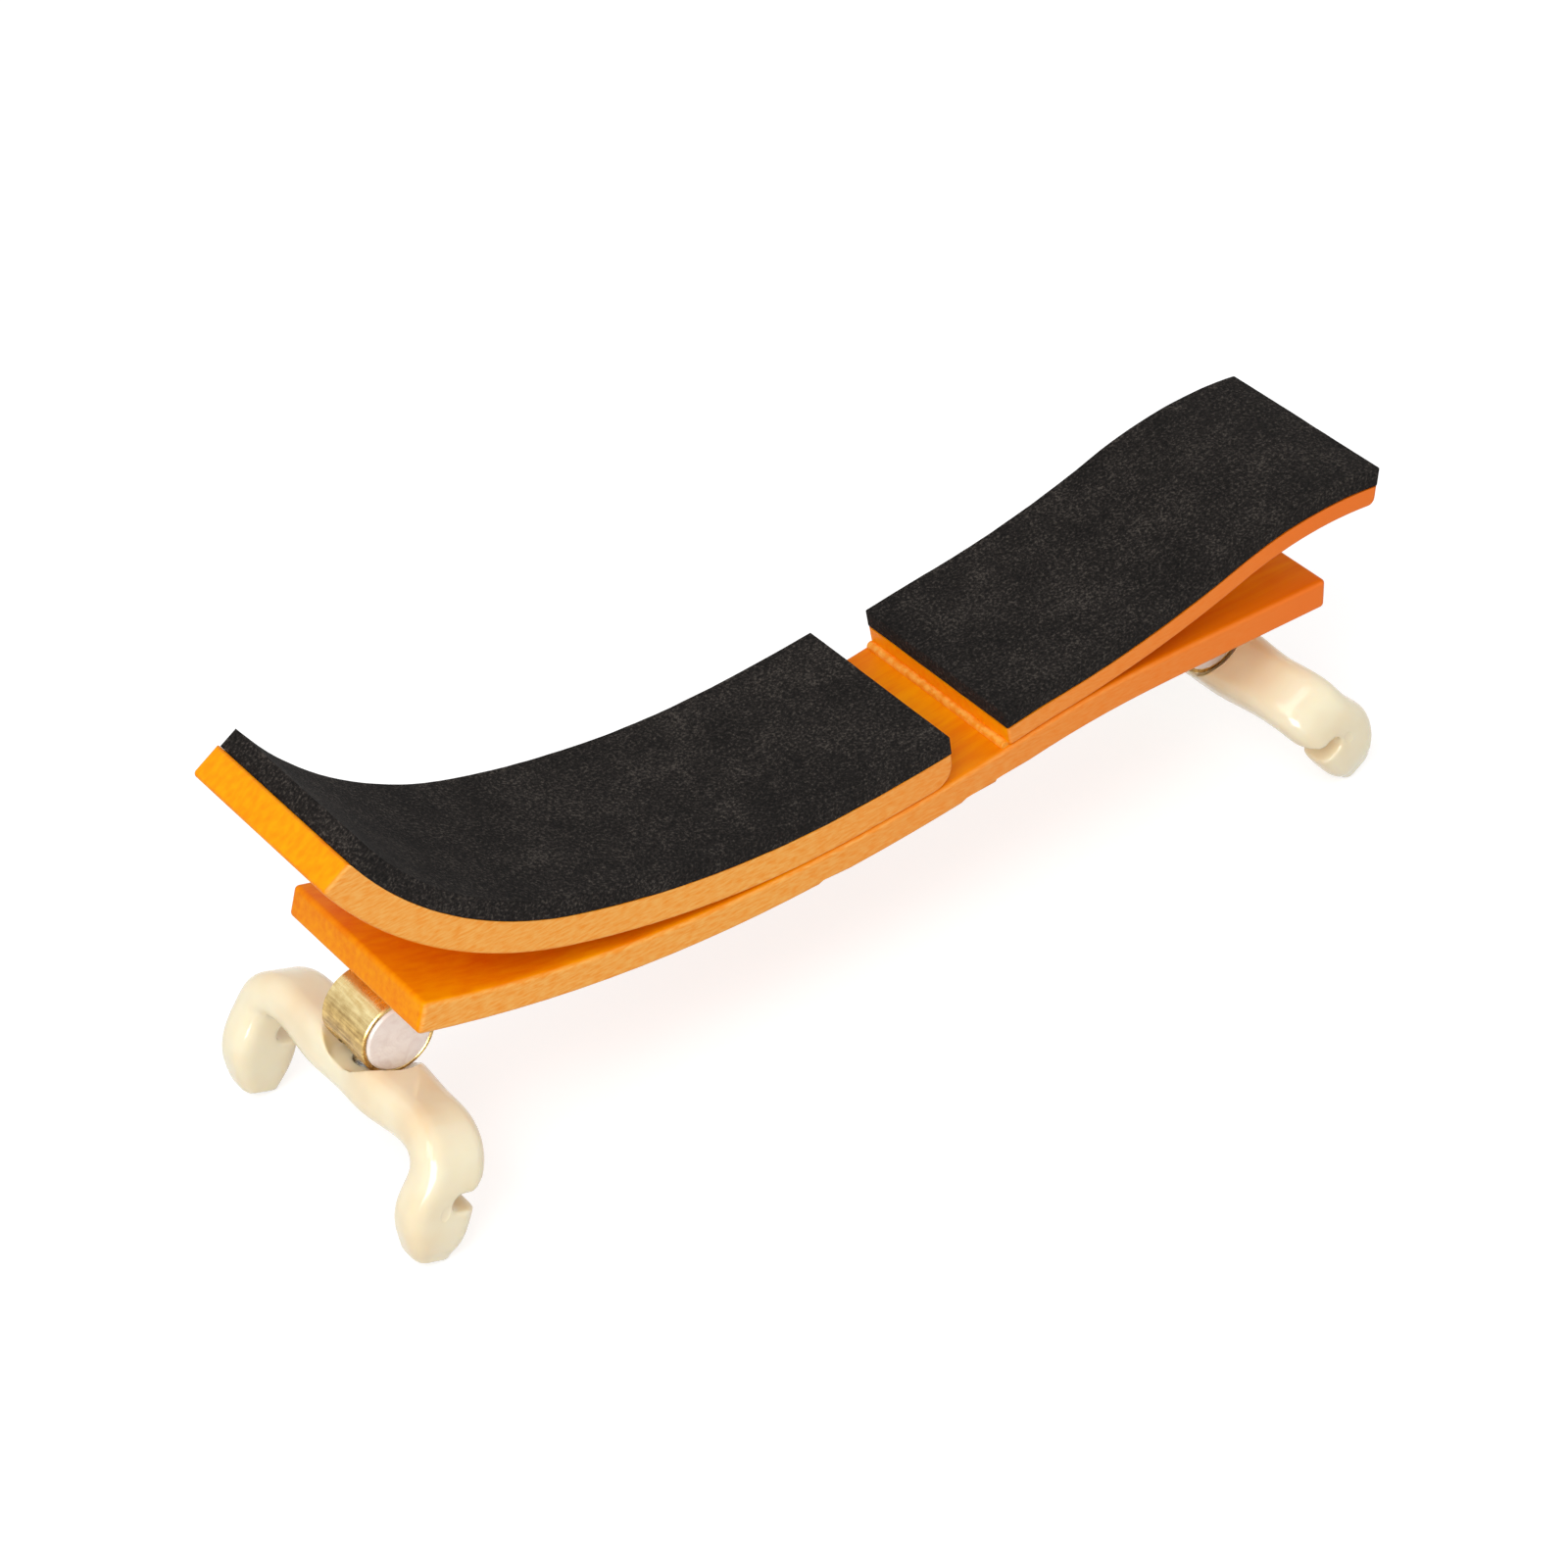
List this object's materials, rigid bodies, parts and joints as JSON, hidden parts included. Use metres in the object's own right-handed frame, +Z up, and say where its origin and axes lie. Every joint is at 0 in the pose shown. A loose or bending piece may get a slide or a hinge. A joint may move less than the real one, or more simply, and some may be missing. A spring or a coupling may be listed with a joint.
{
  "type": "violin shoulder rest",
  "caption": "Curved varnished wooden violin shoulder rest with two foam-covered plates and folding, height-adjustable claw legs in brass barrels.",
  "frame": {"origin": "on the table, under the middle of the length and width, with the four claws standing on it", "axes": "+X along the bar from the shoulder end to the chest end, +Z up, +Y across the bar"},
  "size_m": [0.2502, 0.0704, 0.0922],
  "materials": {
    "varnished_wood": "orange gloss varnish over pale close-grained wood",
    "foam": "matt black closed-cell foam",
    "brass": "satin, lightly scratched",
    "nylon": "turned white nylon, satin",
    "screw_steel": "zinc plated",
    "stem_steel": "bright plated",
    "cream_plastic": "moulded, glossy"
  },
  "bodies": {
    "rest": {"base_bar": "varnished_wood", "shoulder_plate": "varnished_wood", "chest_plate": "varnished_wood", "shoulder_pad": "foam", "chest_pad": "foam", "shoulder_barrel": "brass", "chest_barrel": "brass", "shoulder_barrel_screws": "screw_steel", "chest_barrel_screws": "screw_steel"},
    "shoulder_swivel": {"shoulder_trunnion": "nylon"},
    "shoulder_screw": {"shoulder_stem": "stem_steel"},
    "shoulder_foot": {"shoulder_fork": "cream_plastic"},
    "chest_swivel": {"chest_trunnion": "nylon"},
    "chest_screw": {"chest_stem": "stem_steel"},
    "chest_foot": {"chest_fork": "cream_plastic"}
  },
  "joints": [
    {"name": "shoulder_fold", "type": "hinge", "parent": "rest", "child": "shoulder_swivel", "pos_m": [-0.10599, 0, 0.03217], "axis": [0, -1, 0], "range_deg": [-35.54, 89.46]},
    {"name": "shoulder_height", "type": "slide", "parent": "shoulder_swivel", "child": "shoulder_screw", "axis": [-0.3469, 0, -0.9379], "range_m": [-0.00051, 0.00401]},
    {"name": "shoulder_turn", "type": "hinge", "parent": "shoulder_screw", "child": "shoulder_foot", "pos_m": [-0.10599, 0, 0.03217], "axis": [-0.3469, 0, -0.9379], "range_deg": [-180, 1440]},
    {"name": "chest_fold", "type": "hinge", "parent": "rest", "child": "chest_swivel", "pos_m": [0.09387, 0, 0.0291], "axis": [0, 1, 0], "range_deg": [-6.65, 118.35]},
    {"name": "chest_height", "type": "slide", "parent": "chest_swivel", "child": "chest_screw", "axis": [0.5307, 0, -0.8475], "range_m": [-0.00001, 0.00501]},
    {"name": "chest_turn", "type": "hinge", "parent": "chest_screw", "child": "chest_foot", "pos_m": [0.09387, 0, 0.0291], "axis": [0.5307, 0, -0.8475], "range_deg": [0, 1800]}
  ],
  "couplings": [
    {"joint": "shoulder_height", "follows": "shoulder_turn", "m_per_rad": 0.00015915},
    {"joint": "chest_height", "follows": "chest_turn", "m_per_rad": 0.00015915}
  ]
}
